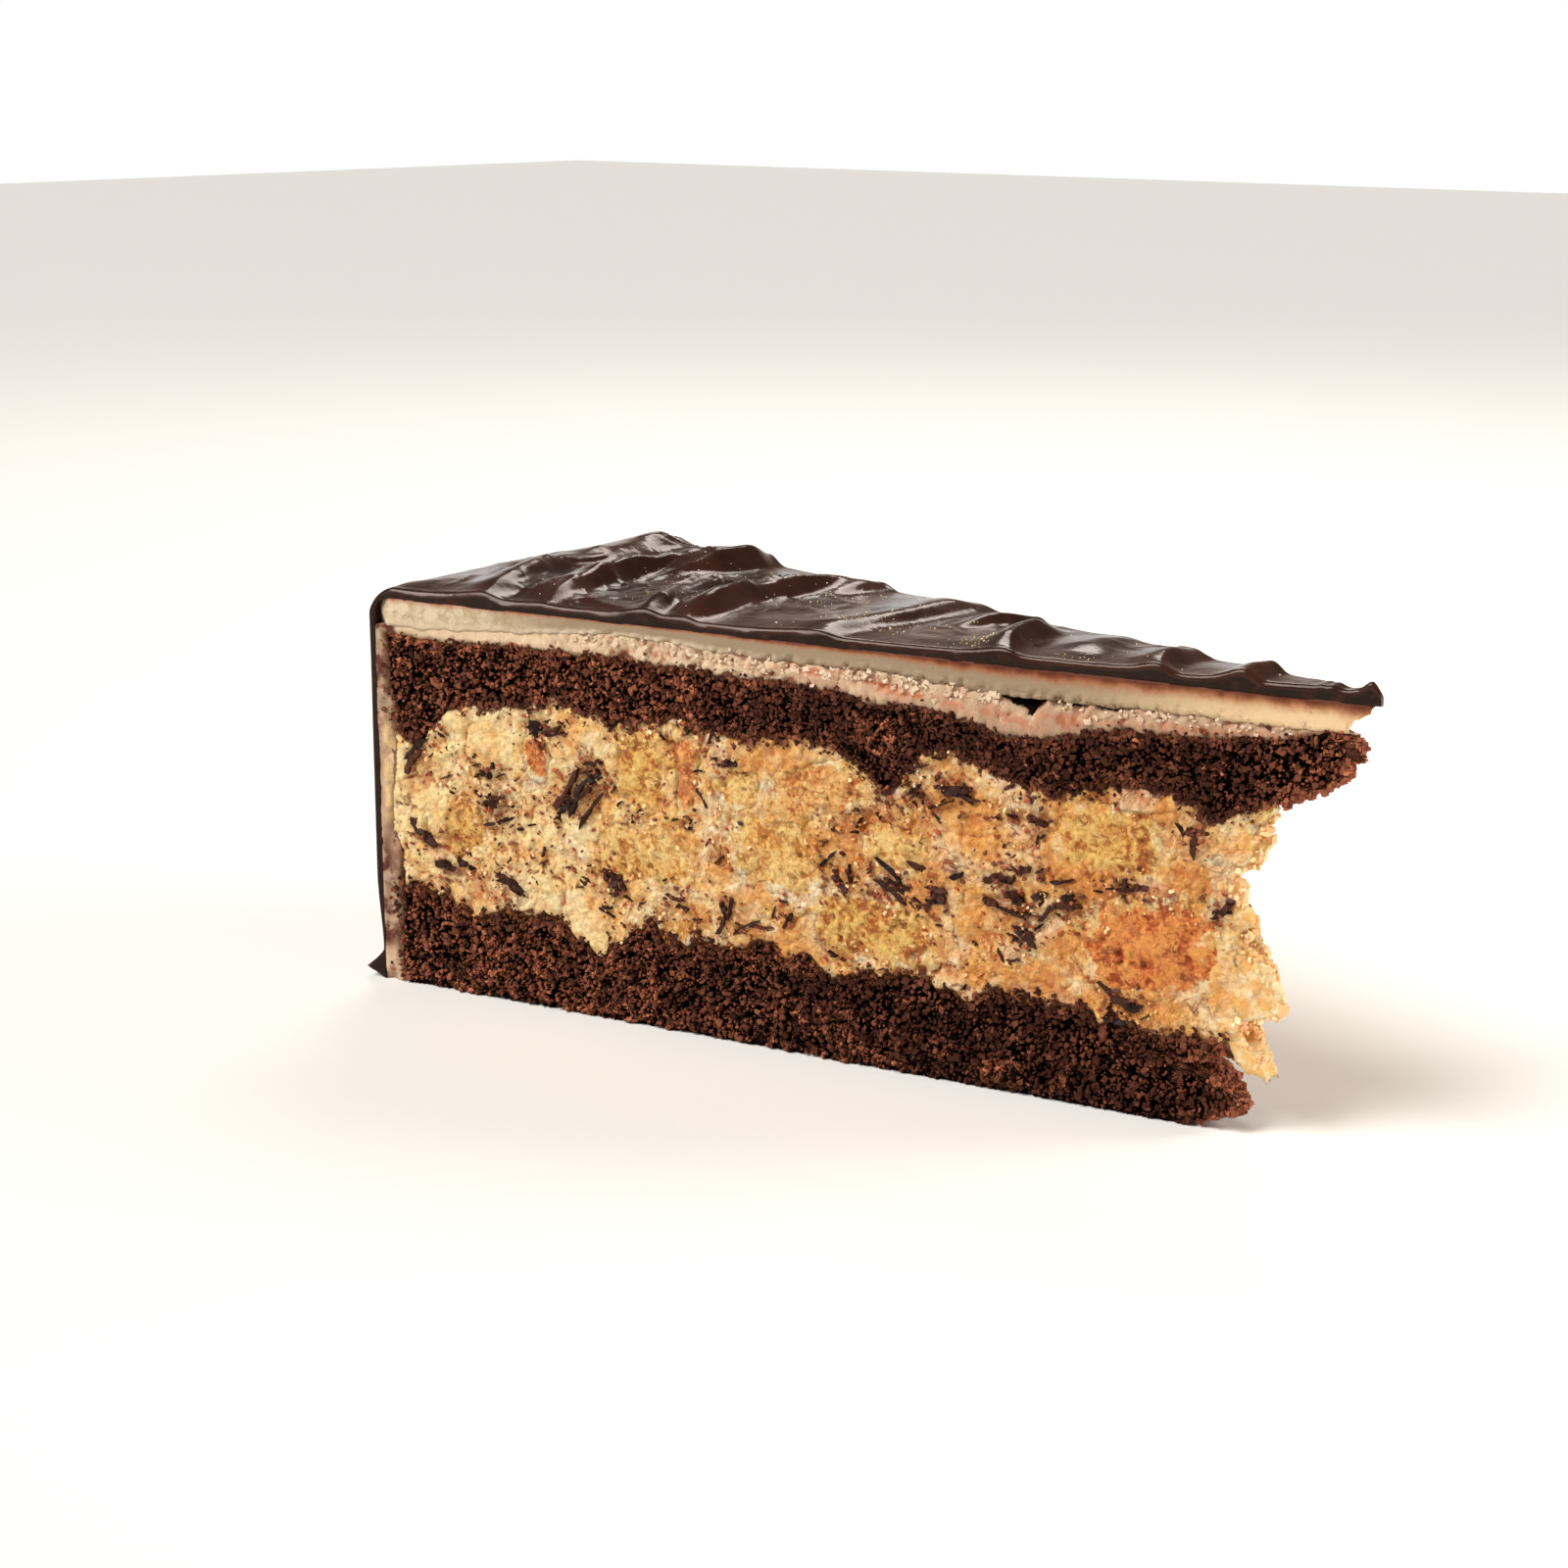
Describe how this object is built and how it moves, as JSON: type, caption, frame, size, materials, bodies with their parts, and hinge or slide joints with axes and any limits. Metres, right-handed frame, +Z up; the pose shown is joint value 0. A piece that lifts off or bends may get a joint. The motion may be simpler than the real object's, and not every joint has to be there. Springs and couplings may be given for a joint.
{
  "type": "chocolate orange cake",
  "caption": "Slice of layered chocolate cake with an orange cream filling set with sponge chunks, a marzipan and dark chocolate top, its point torn off.",
  "frame": {"origin": "centre of the footprint's box, on the surface the slice stands on", "axes": "+X along the slice from its rim to its point, +Z up, front cut face towards -Y"},
  "size_m": [0.1318, 0.0518, 0.0532],
  "materials": {
    "dark_chocolate": "glossy dark chocolate icing in waves",
    "marzipan": "smooth pale almond paste, satin",
    "pink_cream": "rough pinkish cream, matte",
    "chocolate_sponge": "open dark crumb, matte",
    "orange_cream": "pale orange cream with flecks and shavings of chocolate",
    "golden_chunk": "golden crumb, matte",
    "yellow_chunk": "yellow crumb, matte",
    "orange_chunk": "orange crumb, matte"
  },
  "bodies": {
    "root": {"icing": "dark_chocolate", "marzipan": "marzipan", "cream_coat": "pink_cream", "sponge_upper": "chocolate_sponge", "filling": "orange_cream", "sponge_lower": "chocolate_sponge", "chunk_front_1": "orange_chunk", "chunk_front_2": "yellow_chunk", "chunk_front_3": "golden_chunk", "chunk_front_4": "yellow_chunk", "chunk_front_5": "orange_chunk", "chunk_front_6": "golden_chunk", "chunk_front_7": "orange_chunk", "chunk_front_8": "golden_chunk", "chunk_front_9": "yellow_chunk", "chunk_front_10": "yellow_chunk", "chunk_front_11": "orange_chunk", "chunk_front_12": "golden_chunk", "chunk_back_1": "golden_chunk", "chunk_back_2": "yellow_chunk", "chunk_back_3": "orange_chunk", "chunk_back_4": "golden_chunk", "chunk_back_5": "yellow_chunk", "chunk_back_6": "orange_chunk", "chunk_back_7": "golden_chunk"}
  },
  "joints": []
}
